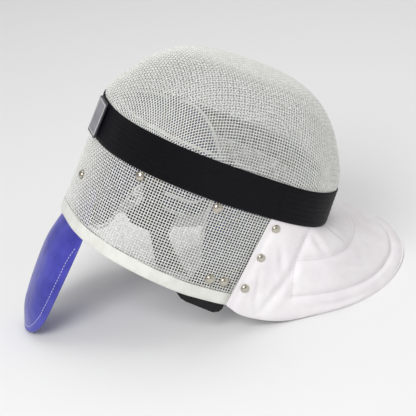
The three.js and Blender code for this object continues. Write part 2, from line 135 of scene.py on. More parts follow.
def domeAt(angle, rise):  # a ring of the dome, by its share of the way up
    shrink = lambda fullness: (1 - rise) ** (1 / fullness)
    ease = np.clip(rise / 0.15, 0, 1)
    widest = basket["chinEnd"] + dome["overhang"] * ease * ease * (3 - 2 * ease)
    crownEnd = dome["apexAt"] - (dome["apexAt"] - basket["crownEnd"]) * shrink(dome["crownFullness"])
    chinEnd = dome["apexAt"] + (widest - dome["apexAt"]) * shrink(dome["chinFullness"])
    blend = lambda low, high: low + (high - low) * rise
    centre = blend(basket["widestAt"], dome["apexAt"])
    x, y = eggPlan(angle, centre, centre - crownEnd, chinEnd - centre,
                   basket["halfWidth"] * shrink(dome["sideFullness"]),
                   blend(basket["crownSquareness"], dome["topCrownSquareness"]),
                   blend(basket["chinSquareness"], dome["topChinSquareness"]))
    return np.stack([x, y, dome["base"] + dome["height"] * rise + 0 * x], -1)


def linear(hexColour):
    parts = [int(hexColour[i:i + 2], 16) / 255 for i in (1, 3, 5)]
    return [c / 12.92 if c <= 0.04045 else ((c + 0.055) / 1.055) ** 2.4 for c in parts] + [1]


def addNode(tree, kind, settings=None, inputs=None):
    node = tree.nodes.new(kind)
    for name, value in (settings or {}).items():
        setattr(node, name, value)
    for key, value in (inputs or {}).items():
        if isinstance(value, bpy.types.NodeSocket):
            tree.links.new(value, node.inputs[key])
        else:
            node.inputs[key].default_value = value
    return node


def newMaterial(name, colour, roughness, **surface):
    material = bpy.data.materials.new(name)
    material.use_nodes = True
    shader = material.node_tree.nodes["Principled BSDF"]
    shader.inputs["Base Color"].default_value = linear(colour)
    shader.inputs["Roughness"].default_value = roughness
    for key, value in surface.items():
        shader.inputs[key.replace("_", " ")].default_value = value
    place = addNode(material.node_tree, "ShaderNodeTexCoord").outputs
    return material, material.node_tree, shader, place


def mottle(tree, shader, vector, dark, light, size):  # two shades that drift into each other
    spots = addNode(tree, "ShaderNodeTexNoise", inputs={"Vector": vector, "Scale": 1 / size, "Detail": 3})
    ramp = addNode(tree, "ShaderNodeValToRGB", inputs={"Fac": spots.outputs["Fac"]})
    ramp.color_ramp.elements[0].position = 0.35
    ramp.color_ramp.elements[1].position = 0.65
    ramp.color_ramp.elements[0].color = linear(dark)
    ramp.color_ramp.elements[1].color = linear(light)
    tree.links.new(ramp.outputs["Color"], shader.inputs["Base Color"])
    return ramp


def bump(tree, shader, height, depth, under=None):
    inputs = {"Height": height, "Strength": 1, "Distance": depth}
    if under:
        inputs["Normal"] = under.outputs["Normal"]
    node = addNode(tree, "ShaderNodeBump", inputs=inputs)
    tree.links.new(node.outputs["Normal"], shader.inputs["Normal"])
    return node


def threads(tree, vector, across, along):  # a plain weave from two waves, by its thread spacing in metres
    parts = addNode(tree, "ShaderNodeSeparateXYZ", inputs={"Vector": vector})
    waves = []
    for axis, spacing in (("X", along), ("Y", across)):
        turned = addNode(tree, "ShaderNodeMath", {"operation": "MULTIPLY"},
                         {0: parts.outputs[axis], 1: 2 * math.pi / spacing})
        waves.append(addNode(tree, "ShaderNodeMath", {"operation": "SINE"}, {0: turned.outputs[0]}))
    return addNode(tree, "ShaderNodeMath", {"operation": "ADD"},
                   {0: waves[0].outputs[0], 1: waves[1].outputs[0]})


# White enamel on steel wire, satin; the inner side of each wire is darkened to grey as painted shade.
def enamelledWire():
    material, tree, shader, place = newMaterial("enamelled_steel_wire", "#f4f4f0", 0.34, Coat_Weight=0.3)
    enamel = mottle(tree, shader, place["Object"], "#e6e6e0", "#f8f8f5", 4 * mm)
    facing = addNode(tree, "ShaderNodeAttribute", {"attribute_name": "facing"})
    innerShade = addNode(tree, "ShaderNodeMapRange",
                    inputs={"Value": facing.outputs["Fac"], "From Min": -0.7, "From Max": 0.15})
    # Painted shade: where a wire faces inwards, its colour is mixed towards dark grey #62625f.
    shadedEnamel = addNode(tree, "ShaderNodeMix", {"data_type": "RGBA"}, {
        "Factor": innerShade.outputs["Result"], 6: linear("#62625f"), 7: enamel.outputs["Color"]})
    tree.links.new(shadedEnamel.outputs[2], shader.inputs["Base Color"])
    return material


def mouldedVinyl():  # extruded soft vinyl: a waxy sheen with faint drag marks
    material, tree, shader, place = newMaterial("extruded_vinyl", "#e9e9e3", 0.36, IOR=1.53)
    mottle(tree, shader, place["Object"], "#e0e0d9", "#ecece6", 14 * mm)
    grain = addNode(tree, "ShaderNodeTexNoise",
                    inputs={"Vector": place["Object"], "Scale": 1 / (2.5 * mm), "Detail": 2})
    bump(tree, shader, grain.outputs["Fac"], 0.06 * mm)
    return material


def elasticWebbing():  # woven elastic: fine ribs along its length, matt with a soft sheen on the rib tops
    material, tree, shader, place = newMaterial(
        "woven_elastic", "#030307", 0.5, Sheen_Weight=0.03, Sheen_Roughness=0.4, Specular_IOR_Level=0.14)
    shader.inputs["Sheen Tint"].default_value = linear("#8a8aa0")
    mottle(tree, shader, place["UV"], "#020206", "#07070e", 3 * mm)
    bump(tree, shader, threads(tree, place["UV"], 1.6 * mm, 1.0 * mm).outputs[0], 0.12 * mm)
    return material


# Lengths are in millimetres: the patches of tone, the threads across and along, and how deep they stand.
cloths = {
    "narrow_elastic": {"colour": "#0e0e14", "roughness": 0.75, "sheen": 0.2, "dark": "#0a0a10",
                       "light": "#17171f", "patch": 3, "across": 1.6, "along": 1.6, "depth": 0.1},
    # The pad cloth is a real blue; its navy is partly painted shade for the shaded inside of the mask.
    "brushed_tricot": {"colour": "#1d1d66", "roughness": 0.85, "sheen": 0.4, "dark": "#17175a",
                       "light": "#24246f", "patch": 9, "across": 1.8, "along": 1.4, "depth": 0.1},
    "cotton_tape": {"colour": "#e9e9ee", "roughness": 0.8, "sheen": 0.2, "dark": "#dcdce2",
                    "light": "#f1f1f4", "patch": 5, "across": 1.2, "along": 1.2, "depth": 0.08},
}


def plainCloth(name):  # dull cloth with its threads showing
    cloth = cloths[name]
    material, tree, shader, place = newMaterial(name, cloth["colour"], cloth["roughness"],
                                                Sheen_Weight=cloth["sheen"])
    mottle(tree, shader, place["Object"], cloth["dark"], cloth["light"], cloth["patch"] * mm)
    weave = threads(tree, place["Object"], cloth["across"] * mm, cloth["along"] * mm)
    bump(tree, shader, weave.outputs[0], cloth["depth"] * mm)
    return material


def mouldedRubber(name, dark, light):  # moulded rubber: dull, with a fine even tooth
    material, tree, shader, place = newMaterial(name, light, 0.48)
    mottle(tree, shader, place["Object"], dark, light, 6 * mm)
    grain = addNode(tree, "ShaderNodeTexNoise", inputs={"Vector": place["Object"], "Scale": 1 / (0.6 * mm)})
    bump(tree, shader, grain.outputs["Fac"], 0.03 * mm)
    return material


def artificialLeather(name, dark, light, roughness, **surface):  # coated cloth: soft gloss, pebbled grain
    material, tree, shader, place = newMaterial(name, light, roughness, **surface)
    mottle(tree, shader, place["Object"], dark, light, 22 * mm)
    pebbles = addNode(tree, "ShaderNodeTexVoronoi", {"feature": "DISTANCE_TO_EDGE"},
                      {"Vector": place["Object"], "Scale": 1 / (1.3 * mm)})
    grain = bump(tree, shader, pebbles.outputs["Distance"], 0.09 * mm)
    folds = addNode(tree, "ShaderNodeTexNoise",
                    inputs={"Vector": place["Object"], "Scale": 1 / (18 * mm), "Detail": 2})
    bump(tree, shader, folds.outputs["Fac"], 1.2 * mm, grain)
    return material


def quiltedCotton():  # bleached cotton drill: matt, with a fine plain weave and a little fuzz
    material, tree, shader, place = newMaterial("bleached_cotton", "#f8f4f6", 0.85, Sheen_Weight=0.3)
    mottle(tree, shader, place["Object"], "#f4eff2", "#fbf8fa", 30 * mm)
    # The threads are drawn twice as coarse as real ones.
    weft = bump(tree, shader, threads(tree, place["UV"], 1.3 * mm, 1.3 * mm).outputs[0], 0.05 * mm)
    rumple = addNode(tree, "ShaderNodeTexNoise",
                     inputs={"Vector": place["Object"], "Scale": 1 / (14 * mm), "Detail": 4})
    bump(tree, shader, rumple.outputs["Fac"], 0.9 * mm, weft)
    return material


def nickelPlate():  # bright nickel on steel rivets, rubbed a little, as roughness that varies by noise over the whole head
    material, tree, shader, place = newMaterial("nickel_plate", "#c6c0b4", 0.18, Metallic=1)
    wear = addNode(tree, "ShaderNodeTexNoise",
                   inputs={"Vector": place["Object"], "Scale": 1 / (1.5 * mm), "Detail": 4})
    rough = addNode(tree, "ShaderNodeMapRange",
                    inputs={"Value": wear.outputs["Fac"], "To Min": 0.14, "To Max": 0.34})
    tree.links.new(rough.outputs["Result"], shader.inputs["Roughness"])
    return material


def sewingThread(name, dark, light):  # twisted polyester thread
    material, tree, shader, place = newMaterial(name, light, 0.6, Sheen_Weight=0.2)
    mottle(tree, shader, place["Object"], dark, light, 1.5 * mm)
    return material


finish = {
    "wire": enamelledWire(), "trim": mouldedVinyl(), "elastic": elasticWebbing(),
    "sideElastic": plainCloth("narrow_elastic"),
    "label": mouldedRubber("grey_rubber", "#85838b", "#97959d"),
    "labelDark": mouldedRubber("dark_rubber", "#2c2b31", "#37363d"),
    "bib": quiltedCotton(),
    "pad": plainCloth("brushed_tricot"),
    "tape": plainCloth("cotton_tape"),
    "nickel": nickelPlate(),
    "tongue": artificialLeather("blue_artificial_leather", "#3a3aa0", "#4a4ab6", 0.34, Coat_Weight=0.2),
    "tab": artificialLeather("black_artificial_leather", "#060608", "#0e0e12", 0.45,
                             Specular_IOR_Level=0.3),
    "whiteThread": sewingThread("white_thread", "#dedee6", "#f6f6fa"),
    # The bib's thread is real, but its grey is deepened as painted shade along the quilted seams.
    "bibThreadSeamShade": sewingThread("bib_thread_seam_shade", "#c9c3c8", "#dcd6db"),
}
print("materials made")


def newPiece(name, points, faces, material, uv=None, edges=()):
    mesh = bpy.data.meshes.new(name)
    mesh.from_pydata([tuple(p) for p in points], list(edges), faces)
    mesh.materials.append(material)
    if uv is not None:
        layer = mesh.uv_layers.new(name="UVMap")
        for loop in mesh.loops:
            layer.data[loop.index].uv = uv[loop.vertex_index]
    mesh.polygons.foreach_set("use_smooth", [True] * len(mesh.polygons))
    piece = bpy.data.objects.new(name, mesh)
    bpy.context.scene.collection.objects.link(piece)
    return piece


def gridFaces(rows, columns, ring=False):
    spans = columns if ring else columns - 1
    return [
        (r * columns + c, r * columns + (c + 1) % columns,
         (r + 1) * columns + (c + 1) % columns, (r + 1) * columns + c)
        for r in range(rows - 1) for c in range(spans)
    ]


def applyModifiers(piece):
    graph = bpy.context.evaluated_depsgraph_get()
    mesh = bpy.data.meshes.new_from_object(
        piece.evaluated_get(graph), preserve_all_data_layers=True, depsgraph=graph)
    piece.modifiers.clear()
    piece.data = mesh
    return piece


def pointOutwards(piece):
    work = bmesh.new()
    work.from_mesh(piece.data)
    bmesh.ops.recalc_face_normals(work, faces=work.faces)
    work.to_mesh(piece.data)
    work.free()
    return piece


def softCopy(name, node, material, levels, sharp=None):  # a CAD node's form, welded and rounded
    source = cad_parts[node].data
    work = bmesh.new()
    work.from_mesh(source)
    bmesh.ops.remove_doubles(work, verts=work.verts, dist=0.01 * mm)
    bmesh.ops.join_triangles(work, faces=work.faces, angle_face_threshold=0.6, angle_shape_threshold=3.1)
    mesh = bpy.data.meshes.new(name)
    work.to_mesh(mesh)
    work.free()
    mesh.materials.clear()
    mesh.materials.append(material)
    mesh.polygons.foreach_set("use_smooth", [True] * len(mesh.polygons))
    piece = bpy.data.objects.new(name, mesh)
    bpy.context.scene.collection.objects.link(piece)
    if sharp:
        edge = piece.modifiers.new("edge", "BEVEL")
        edge.width, edge.segments, edge.limit_method, edge.angle_limit = sharp, 2, "ANGLE", math.radians(50)
    if levels:
        smooth = piece.modifiers.new("smooth", "SUBSURF")
        smooth.levels = smooth.render_levels = levels
    return applyModifiers(piece) if piece.modifiers else piece


def settle(piece, slotName, *nodes):
    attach(piece, "root")
    if nodes:
        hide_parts(*nodes)
    return piece


def newTree(name, sizes):
    tree = bpy.data.node_groups.new(name, "GeometryNodeTree")
    tree.interface.new_socket("Geometry", in_out="INPUT", socket_type="NodeSocketGeometry")
    for label, (kind, value) in sizes.items():
        socket = tree.interface.new_socket(label, in_out="INPUT", socket_type=kind)
        if value is not None:
            socket.default_value = value
    tree.interface.new_socket("Geometry", in_out="OUTPUT", socket_type="NodeSocketGeometry")
    return tree, addNode(tree, "NodeGroupInput").outputs


def finishTree(tree, geometry, material):
    real = addNode(tree, "GeometryNodeRealizeInstances", inputs={"Geometry": geometry})
    painted = addNode(tree, "GeometryNodeSetMaterial",
                      inputs={"Geometry": real.outputs[0], "Material": material})
    addNode(tree, "NodeGroupOutput", inputs={"Geometry": painted.outputs[0]})


def growTree(piece, tree, sizes):
    modifier = piece.modifiers.new(tree.name, "NODES")
    modifier.node_group = tree
    for socket in tree.interface.items_tree:
        if socket.in_out == "INPUT" and socket.name in sizes:
            modifier[socket.identifier] = sizes[socket.name]
    return applyModifiers(piece)


def addAttribute(piece, name, kind, values):
    layer = piece.data.attributes.new(name, kind, "POINT")
    field = "vector" if kind == "FLOAT_VECTOR" else "value"
    layer.data.foreach_set(field, np.asarray(values, float).ravel())


view = {
    "azimuth": -14.78, "elevation": 25.49, "roll": -6.03, "lens": 148,
    "distance": 1823.2, "target": (-4.7, -1.2, 95.2),
}


def setCamera():
    azimuth, elevation, roll = (math.radians(view[key]) for key in ("azimuth", "elevation", "roll"))
    back = Vector((math.sin(azimuth) * math.cos(elevation), -math.cos(azimuth) * math.cos(elevation),
                   math.sin(elevation)))
    level = Vector((math.cos(azimuth), math.sin(azimuth), 0))
    upright = back.cross(level)
    right = math.cos(roll) * level + math.sin(roll) * upright
    up = -math.sin(roll) * level + math.cos(roll) * upright
    data = bpy.data.cameras.new("camera")
    data.lens, data.sensor_width, data.clip_end = view["lens"], 36, 20
    camera = bpy.data.objects.new("camera", data)
    place = (Vector(view["target"]) + back * view["distance"]) * mm
    camera.matrix_world = Matrix.Translation(place) @ Matrix((right, up, back)).transposed().to_4x4()
    bpy.context.scene.collection.objects.link(camera)
    bpy.context.scene.camera = camera


studio = {
    "world": 0.36, "floorHalf": 6, "floorLevel": -0.0002,
    "lamps": [
        {"name": "key", "from": (-1100, -1300, 1600), "size": 1.1, "watts": 29},
        {"name": "fill", "from": (1600, -1100, 900), "size": 1.6, "watts": 5},
        {"name": "top", "from": (300, 500, 1900), "size": 1.6, "watts": 13},
    ],
}


def lightStudio():
    world = bpy.data.worlds.new("studio")
    bpy.context.scene.world = world
    world.use_nodes = True
    sky = world.node_tree.nodes["Background"]
    sky.inputs["Color"].default_value = linear("#ffffff")
    sky.inputs["Strength"].default_value = studio["world"]
    for lamp in studio["lamps"]:
        data = bpy.data.lights.new(lamp["name"], "AREA")
        data.shape, data.size, data.energy = "SQUARE", lamp["size"], lamp["watts"]
        light = bpy.data.objects.new(lamp["name"], data)
        place = Vector(lamp["from"]) * mm
        light.location = place
        light.rotation_euler = (place - Vector((0, 0, 0.1))).to_track_quat("Z", "Y").to_euler()
        bpy.context.scene.collection.objects.link(light)
    side = studio["floorHalf"]
    corners = [(x * side, y * side, studio["floorLevel"]) for x, y in ((-1, -1), (1, -1), (1, 1), (-1, 1))]
    floor = newPiece("floor", corners, [(0, 1, 2, 3)], newMaterial("painted_floor", "#f2f2f2", 0.9)[0])
    bpy.context.scene.view_settings.view_transform = "Standard"


setCamera()
lightStudio()
print("camera and studio ready")


weave = {"pitch": 3.0, "wire": 1.15, "rise": 0.55, "sides": 4}


def weaveTree():  # wires that pass over and under each other along the paths they are given
    tree, size = newTree("woven_wire", {
        "Wire Diameter": ("NodeSocketFloat", weave["wire"] * mm),
        "Weave Rise": ("NodeSocketFloat", weave["rise"] * mm),
        "Wire Sides": ("NodeSocketInt", weave["sides"]),
        "Material": ("NodeSocketMaterial", None),
    })
    lift = addNode(tree, "GeometryNodeInputNamedAttribute", {"data_type": "FLOAT"}, {"Name": "lift"})
    outward = addNode(tree, "GeometryNodeInputNamedAttribute", {"data_type": "FLOAT_VECTOR"},
                      {"Name": "outward"})
    height = addNode(tree, "ShaderNodeMath", {"operation": "MULTIPLY"},
                     {0: lift.outputs[0], 1: size["Weave Rise"]})
    offset = addNode(tree, "ShaderNodeVectorMath", {"operation": "SCALE"},
                     {0: outward.outputs[0], "Scale": height.outputs[0]})
    woven = addNode(tree, "GeometryNodeSetPosition",
                    inputs={"Geometry": size["Geometry"], "Offset": offset.outputs[0]})
    path = addNode(tree, "GeometryNodeMeshToCurve", inputs={"Mesh": woven.outputs[0]})
    radius = addNode(tree, "ShaderNodeMath", {"operation": "DIVIDE"}, {0: size["Wire Diameter"], 1: 2})
    ring = addNode(tree, "GeometryNodeCurvePrimitiveCircle", {"mode": "RADIUS"},
                   {"Resolution": size["Wire Sides"], "Radius": radius.outputs[0]})
    wire = addNode(tree, "GeometryNodeCurveToMesh",
                   inputs={"Curve": path.outputs[0], "Profile Curve": ring.outputs[0], "Fill Caps": True})
    smooth = addNode(tree, "GeometryNodeSetShadeSmooth", inputs={"Geometry": wire.outputs[0]})
    # How far each wire's surface faces outwards is kept as "facing"; the wire material turns its inner side
    # into painted shade.
    normal = addNode(tree, "GeometryNodeInputNormal")
    facing = addNode(tree, "ShaderNodeVectorMath", {"operation": "DOT_PRODUCT"},
                     {0: normal.outputs[0], 1: outward.outputs[0]})
    sided = addNode(tree, "GeometryNodeStoreNamedAttribute", {"data_type": "FLOAT", "domain": "POINT"},
                    {"Geometry": smooth.outputs[0], "Name": "facing", "Value": facing.outputs["Value"]})
    finishTree(tree, sided.outputs[0], size["Material"])
    return tree


wovenWire = weaveTree()


def wirePiece(name, wires):  # wires: lists of (point, outward, lift), a ring where the last is the first
    points, edges, outward, lift = [], [], [], []
    for wire, closed in wires:
        first = len(points)
        for place, away, up in wire:
            points.append(place)
            outward.append(away)
            lift.append(up)
        last = len(points) - 1
        edges += [(k, k + 1) for k in range(first, last)]
        if closed:
            edges.append((last, first))
    piece = newPiece(name, toPart(points), [], finish["wire"], edges=edges)
    addAttribute(piece, "lift", "FLOAT", lift)
    addAttribute(piece, "outward", "FLOAT_VECTOR", np.asarray(outward) @ turn.T)
    return growTree(piece, wovenWire, {"Material": finish["wire"]})


def between(wire, closed):  # adds the point halfway between each two crossings, where a wire is level
    full = []
    count = len(wire)
    for k, (place, away, up) in enumerate(wire):
        full.append((place, away, up))
        if k + 1 < count or closed:
            following = wire[(k + 1) % count]
            full.append(((place + following[0]) / 2, (away + following[1]) / 2, 0))
    return full


skinSteps = {"around": 240, "up": 110}


def domeSurface():  # a fine skin of the dome and of the wall just under it, to lay wires on
    around = skinSteps["around"]
    angles = np.linspace(0, 2 * math.pi, around, endpoint=False)
    rises = 1 - (1 - np.linspace(0, 1, skinSteps["up"])[:-1]) ** 2.2
    rows = [np.stack([*basketPlan(angles), 0 * angles + level], -1) for level in (-45, -25, -12)]
    rows += [domeAt(angles, rise) for rise in rises]
    points = np.vstack(rows + [[(dome["apexAt"], 0, dome["base"] + dome["height"])]])
    faces = gridFaces(len(rows), around, ring=True)
    top = len(points) - 1
    faces += [(top - around + k, top - around + (k + 1) % around, top) for k in range(around)]
    return BVHTree.FromPolygons([tuple(p) for p in points], faces)


def layNet():  # a cloth net over the dome: every cell keeps its wire spacing and shears to follow the form
    skin = domeSurface()
    pitchLength = weave["pitch"]
    lowest = -13

    def onSkin(place):
        return skin.find_nearest(place)[0]

    def spine(direction, flat):
        run = [onSkin(Vector((dome["apexAt"], 0, 90)))]
        heading = Vector(direction)
        while run[-1].z > lowest:
            place = run[-1] + heading * pitchLength
            for _ in range(3):
                place = onSkin(place)
                place[flat] = run[0][flat]
                place = run[-1] + (place - run[-1]).normalized() * pitchLength
            heading = (place - run[-1]).normalized()
            run.append(place)
        return run

    net = {}
    for ahead in (1, -1):
        for k, place in enumerate(spine((ahead, 0, 0), 1)):
            net[ahead * k, 0] = place
    for side in (1, -1):
        for k, place in enumerate(spine((0, side, 0), 0)):
            net[0, side * k] = place
    for ahead in (1, -1):
        for side in (1, -1):
            for j in range(1, 90):
                for i in range(1, 90):
                    a = net.get((ahead * (i - 1), side * j))
                    b = net.get((ahead * i, side * (j - 1)))
                    c = net.get((ahead * (i - 1), side * (j - 1)))
                    if a is None or b is None or c is None or a.z < lowest or b.z < lowest:
                        break
                    place = a + b - c
                    for _ in range(4):
                        place = onSkin(place)
                        for near in (a, b):
                            gap = place - near
                            place += gap.normalized() * (pitchLength - gap.length) * 0.5
                    net[ahead * i, side * j] = onSkin(place)
    return skin, net


def frontWires():
    skin, net = layNet()
    outward = {}
    for key, place in net.items():
        outward[key] = skin.find_nearest(place)[1]
        if outward[key].dot(place - Vector((0, 0, -20))) < 0:
            outward[key].negate()
    reach = 1 + max(max(abs(i), abs(j)) for i, j in net)
    for name, lengthwise in (("front_mesh_arches", True), ("front_mesh_crosses", False)):
        wires = []
        for fixed in range(-reach, reach + 1):
            wire = []
            for k in range(-reach, reach + 1):
                key = (k, fixed) if lengthwise else (fixed, k)
                if key in net:
                    up = 1 if (k + fixed) % 2 == lengthwise else -1
                    wire.append((np.array(net[key]), np.array(outward[key]), up))
            if len(wire) > 1:
                wires.append((between(wire, False), False))
        piece = wirePiece(name, wires)
        settle(piece, "enamelled_mesh", "front_mesh")
        print(name, len(piece.data.polygons))


# Level of the rim, by the distance along the wall from the middle of the crown.
rimRows = [
    {"along": 0, "level": -138}, {"along": 110, "level": -145}, {"along": 170, "level": -150},
    {"along": 222, "level": -150}, {"along": 250, "level": -142}, {"along": 300, "level": -108},
    {"along": 335, "level": -92}, {"along": 400, "level": -86},
]


def rimLevel(along):
    return readRows(rimRows, "along", mirrored(along))["level"]


def sideWires():
    count = 2 * round(halfGirth / weave["pitch"])
    alongs = np.arange(count) * 2 * halfGirth / count
    levels = np.arange(-17, -152, -weave["pitch"])
    rims = rimLevel(alongs) + 1
    places = wallAt(alongs[None, :], levels[:, None], -0.7)
    away = places - wallAt(alongs[None, :], levels[:, None], -1.7)
    inside = levels[:, None] > rims[None, :]
    hoops, posts = [], []
    for r in range(len(levels)):
        wire = [(places[r, k], away[r, k], 1 if (r + k) % 2 else -1) for k in range(count)]
        if inside[r].all():
            hoops.append((between(wire, True), True))
            continue
        start = int(np.argmin(inside[r]))
        stretch = []
        for k in range(start, start + count):
            if inside[r, k % count]:
                stretch.append(wire[k % count])
            elif stretch:
                hoops.append((between(stretch, False), False))
                stretch = []
        if len(stretch) > 1:
            hoops.append((between(stretch, False), False))
    for k in range(count):
        wire = [(places[r, k], away[r, k], -1 if (r + k) % 2 else 1)
                for r in range(len(levels)) if inside[r, k]]
        posts.append((between(wire, False), False))
    for name, wires in (("side_mesh_hoops", hoops), ("side_mesh_posts", posts)):
        piece = wirePiece(name, [w for w in wires if len(w[0]) > 1])
        settle(piece, "enamelled_mesh", "side_mesh")
        print(name, len(piece.data.polygons))


frontWires()
sideWires()


def edgeTrim():
    settle(softCopy("edge_trim_soft", "edge_trim", finish["trim"], 2), "vinyl_trim", "edge_trim")


strapRows = [
    {"along": 0, "top": -8, "bottom": -48, "topLift": 0.5, "bottomLift": 0.5},
    {"along": 30, "top": -8.5, "bottom": -48, "topLift": 0.5, "bottomLift": 0.5},
    {"along": 82, "top": -7, "bottom": -46.5, "topLift": 0.5, "bottomLift": 0.5},
    {"along": 140, "top": -6.5, "bottom": -46.5, "topLift": 0.5, "bottomLift": 0.5},
    {"along": 200, "top": -7.5, "bottom": -47.5, "topLift": 0.5, "bottomLift": 0.6},
    {"along": 219, "top": -8.5, "bottom": -47, "topLift": 0.5, "bottomLift": 3},
    {"along": 260, "top": -10, "bottom": -47.5, "topLift": 0.5, "bottomLift": 3},
    {"along": 300, "top": -8.5, "bottom": -47.5, "topLift": 0.5, "bottomLift": 3},
    {"along": 400, "top": -8.5, "bottom": -46, "topLift": 0.5, "bottomLift": 3},
]
strap = {
    "thickness": 1.7, "width": 40, "stations": 420, "ripple": 0.5, "ribs": 7, "ribHeight": 0.16,
    "seamAlong": -226, "seamDepth": 0.5,
}


def headStrap():
    alongs = np.arange(strap["stations"]) * 2 * halfGirth / strap["stations"]
    rows = readRows(strapRows, "along", mirrored(alongs))
    for key in ("top", "bottom", "topLift", "bottomLift"):
        wrapped = np.concatenate([rows[key][-12:], rows[key], rows[key][:12]])
        rows[key] = np.convolve(wrapped, np.ones(25) / 25, "valid")
    shares = np.linspace(0, 1, 29)
    seam = np.abs(alongs - 2 * halfGirth - strap["seamAlong"])
    # Where the strap's two lengths are sewn together, it has a low step.
    step = strap["seamDepth"] * np.exp(-(seam / 2.2) ** 2)
    profile = [(s, strap["thickness"] * (1 if 0 < s < 1 else 0.55)) for s in shares]
    profile += [(s, 0 if 0 < s < 1 else strap["thickness"] * 0.3) for s in shares[::-1]]
    points, uv = [], []
    for station, along in enumerate(alongs):
        for share, thick in profile:
            level = rows["top"][station] + (rows["bottom"][station] - rows["top"][station]) * share
            base = (rows["topLift"][station]
                    + (rows["bottomLift"][station] - rows["topLift"][station]) * share)
            wave = noise.noise(Vector((along / 20, share * 1.4, 3.1)))
            wave += 0.4 * noise.noise(Vector((along / 7, share * 2, 9)))
            rib = strap["ribHeight"] * math.sin(2 * math.pi * strap["ribs"] * share)
            lift = base + thick + wave * strap["ripple"] * math.sin(math.pi * share)
            lift += (rib - step[station] * math.sin(math.pi * share)) * (thick > 1)
            points.append(wallAt(along, level, lift))
            uv.append((along * mm, share * strap["width"] * mm))
    count = len(profile)
    faces = []
    for station in range(len(alongs)):
        here, there = station * count, ((station + 1) % len(alongs)) * count
        faces += [(here + k, here + (k + 1) % count, there + (k + 1) % count, there + k)
                  for k in range(count)]
    piece = pointOutwards(newPiece("head_strap_webbing", toPart(points), faces, finish["elastic"], uv))
    settle(piece, "elastic", "head_strap")


label = {"border": 1.6, "frame": 3.2, "line": 0.5, "raise": 0.35}


def strapLabel():  # a dark moulded plate with a grey panel inside a fine raised frame
    points = nodePoints("strap_label")
    middle = (points.min(axis=0) + points.max(axis=0)) / 2
    axes = np.linalg.svd(points - points.mean(axis=0))[2]
    out = axes[2] * np.sign(axes[2] @ (middle - toPart((0, 0, 0)) / mm))
    tall, wide = axes[0], axes[1]
    size = [np.ptp(points @ axis) / 2 for axis in (wide, tall)]
    face = points @ out
    middle += out * (face.max() - middle @ out)
    plate = softCopy("strap_label_plate", "strap_label", finish["labelDark"], 0, sharp=0.4 * mm)
    settle(plate, "label_rubber", "strap_label")

    def ring(inset, lift):
        halfWide, halfTall, corner = size[0] - inset, size[1] - inset, max(3 - inset, 0.8)
        corners = []
        for step in range(32):
            angle = (step + 0.5) / 32 * 2 * math.pi
            dx, dy = math.cos(angle), math.sin(angle)
            corners.append(middle + wide * (np.sign(dx) * (halfWide - corner) + dx * corner)
                           + tall * (np.sign(dy) * (halfTall - corner) + dy * corner) + out * lift)
        return corners

    edge, start, proud = label["border"], label["frame"], label["raise"]
    end = start + label["line"]
    for name, steps, material in (
        ("strap_label_panel", [(edge, -0.2), (edge, proud * 0.6), (edge + 0.3, proud), (start, proud)],
         finish["label"]),
        ("strap_label_frame", [(start, 0.1), (start, proud + 0.3), (end, proud + 0.3), (end, proud * 0.8)],
         finish["trim"]),
        ("strap_label_field", [(end, -0.2), (end, 0.3)], finish["label"]),
    ):
        loops = [ring(inset, lift) for inset, lift in steps]
        points = np.array(loops).reshape(-1, 3) * mm
        faces = gridFaces(len(loops), 32, ring=True)
        last = (len(loops) - 1) * 32
        if name == "strap_label_frame":
            faces += [(last + k, last + (k + 1) % 32, (k + 1) % 32, k) for k in range(32)]
        else:
            faces += [tuple(range(last, last + 32)), tuple(range(31, -1, -1))]
        piece = newPiece(name, points, faces, material)
        piece.data.polygons.foreach_set("use_smooth", [False] * len(faces))
        settle(pointOutwards(piece), "label_rubber")


edgeTrim()
headStrap()
strapLabel()
print("trim, strap and label made")


def tongue():
    piece = softCopy("tongue_pad", "tongue", finish["tongue"], 3)
    settle(piece, "blue_vinyl", "tongue")


tapeEnd = {"reach": 9, "fade": 3, "squeeze": 1.4, "lowest": -52}


def blendTapeEnds(piece):  # between the crown pad and the cheek pads the tape is the pad's own blue
    piece.data.materials.append(finish["pad"])
    points = np.array([v.co for v in piece.data.vertices])
    places = toMask(points)
    gap = places[:, 0] - jointPlace[0]
    nearEnd = (np.abs(gap) < tapeEnd["reach"]) & (places[:, 2] > tapeEnd["lowest"])
    squeeze = tapeEnd["squeeze"] * np.clip((tapeEnd["reach"] - np.abs(gap)) / tapeEnd["fade"], 0, 1)
    places[:, 0] -= np.sign(gap) * squeeze * nearEnd  # the two tapes are pressed together
    piece.data.vertices.foreach_set("co", toPart(places).ravel())
    for face in piece.data.polygons:
        face.material_index = int(all(nearEnd[k] for k in face.vertices))


jointPlace = wallAt(160, -30, -13)


def paddedPart(node):  # a pad and the tape that binds its edge, from one CAD node and its binding
    stem, _, side = node.partition("_pad")
    pad = softCopy(f"{node}_foam", node, finish["pad"], 2)
    settle(pad, "pad_cloth", node)
    binding = f"{stem}_pad_binding{side}"
    tape = softCopy(f"{node}_tape", binding, finish["tape"], 2)
    blendTapeEnds(tape)
    settle(tape, "binding_tape", binding)


def innerPieces():
    for side in ("left", "right"):
        settle(softCopy(f"jaw_tab_{side}_leather", f"jaw_tab_{side}", finish["tab"], 0, sharp=0.4 * mm),
               "tab_vinyl", f"jaw_tab_{side}")
        band = softCopy(f"side_strap_{side}_webbing", f"side_strap_{side}", finish["sideElastic"], 0,
                        sharp=0.3 * mm)
        settle(band, "elastic", f"side_strap_{side}")
        paddedPart(f"cheek_pad_{side}")
    paddedPart("crown_pad")


tongue()
innerPieces()
print("tongue, tabs and pads made")


bib = {
    "topLevel": -36, "leavesWall": -49, "sheet": 3, "tuckedSheet": 1.5, "gap": 0.4, "edgeAlong": 227,
    "foot": 3, "bulge": 9, "columns": 220, "fallRows": 56, "clothLength": 620, "clothDepth": 90,
}
